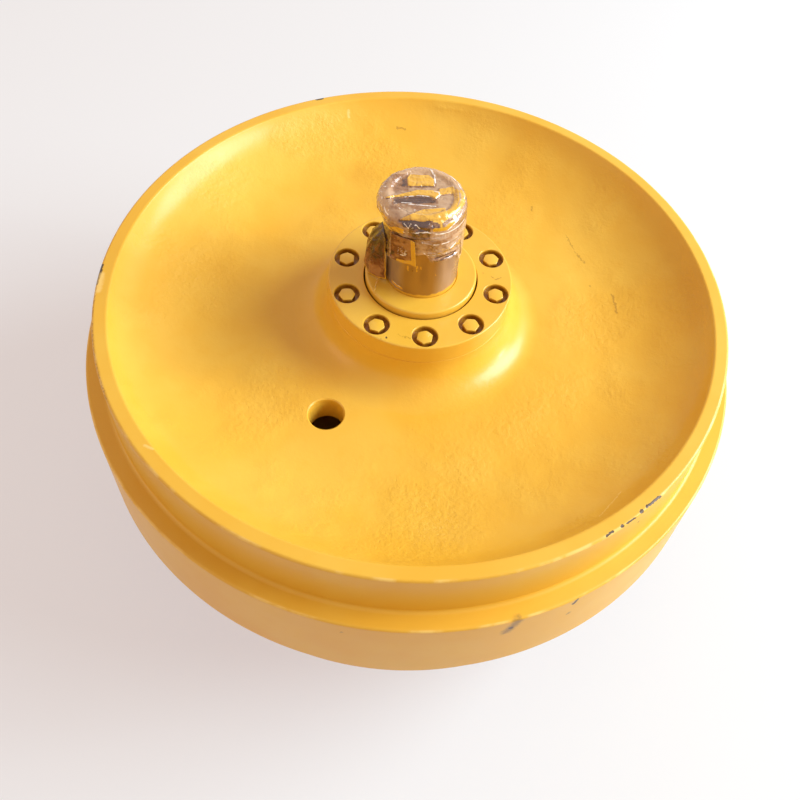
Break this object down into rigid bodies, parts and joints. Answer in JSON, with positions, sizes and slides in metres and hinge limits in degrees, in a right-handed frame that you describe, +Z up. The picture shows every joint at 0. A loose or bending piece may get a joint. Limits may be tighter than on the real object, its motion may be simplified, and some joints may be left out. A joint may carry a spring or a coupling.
{
  "type": "excavator front idler",
  "caption": "Front idler wheel of a crawler excavator: a dished cast wheel with a guide flange, bolted hub covers, face seals and bushes on a stepped shaft.",
  "frame": {"origin": "centre of the wheel, on the axis that it turns on", "axes": "+Z up along the shaft, which stands on its lower end; X and Y are radial, and the camera of the picture stands towards -Y"},
  "size_m": [0.846, 0.846, 0.58],
  "materials": {
    "casting_paint": "semi-gloss yellow paint over a rough casting and turned faces",
    "cover_paint": "semi-gloss yellow paint over turned steel",
    "bolt_paint": "yellow paint over a bolt head",
    "shaft_steel": "turned steel under a film of brown grease",
    "seal_steel": "lapped steel",
    "plated_steel": "zinc-plated steel",
    "bush_bronze": "turned bronze",
    "seal_rubber": "matte black rubber",
    "packing_film": "clear crinkled packing film"
  },
  "bodies": {
    "shaft_assembly": {"collar_o_ring_lower": "seal_rubber", "collar_o_ring_upper": "seal_rubber", "collar_pin_lower": "plated_steel", "collar_pin_upper": "plated_steel", "fixed_seal_ring_lower": "seal_steel", "fixed_seal_ring_upper": "seal_steel", "fixed_seal_rubber_lower": "seal_rubber", "fixed_seal_rubber_upper": "seal_rubber", "idler_shaft": "shaft_steel", "oil_plug": "plated_steel", "seal_collar_lower": "cover_paint", "seal_collar_upper": "cover_paint", "shaft_end_film": "packing_film"},
    "wheel_assembly": {"cover_bolt_lower_01": "bolt_paint", "cover_bolt_lower_02": "bolt_paint", "cover_bolt_lower_03": "bolt_paint", "cover_bolt_lower_04": "bolt_paint", "cover_bolt_lower_05": "bolt_paint", "cover_bolt_lower_06": "bolt_paint", "cover_bolt_lower_07": "bolt_paint", "cover_bolt_lower_08": "bolt_paint", "cover_bolt_lower_09": "bolt_paint", "cover_bolt_lower_10": "bolt_paint", "cover_bolt_upper_01": "bolt_paint", "cover_bolt_upper_02": "bolt_paint", "cover_bolt_upper_03": "bolt_paint", "cover_bolt_upper_04": "bolt_paint", "cover_bolt_upper_05": "bolt_paint", "cover_bolt_upper_06": "bolt_paint", "cover_bolt_upper_07": "bolt_paint", "cover_bolt_upper_08": "bolt_paint", "cover_bolt_upper_09": "bolt_paint", "cover_bolt_upper_10": "bolt_paint", "cover_o_ring_lower": "seal_rubber", "cover_o_ring_upper": "seal_rubber", "flanged_bush_lower": "bush_bronze", "flanged_bush_upper": "bush_bronze", "hub_cover_lower": "cover_paint", "hub_cover_upper": "cover_paint", "turning_seal_ring_lower": "seal_steel", "turning_seal_ring_upper": "seal_steel", "turning_seal_rubber_lower": "seal_rubber", "turning_seal_rubber_upper": "seal_rubber", "wheel_casting": "casting_paint"}
  },
  "joints": [
    {"name": "wheel_spin", "type": "hinge", "parent": "shaft_assembly", "child": "wheel_assembly", "pos_m": [0, 0, 0], "axis": [0, 0, 1], "continuous": true}
  ]
}
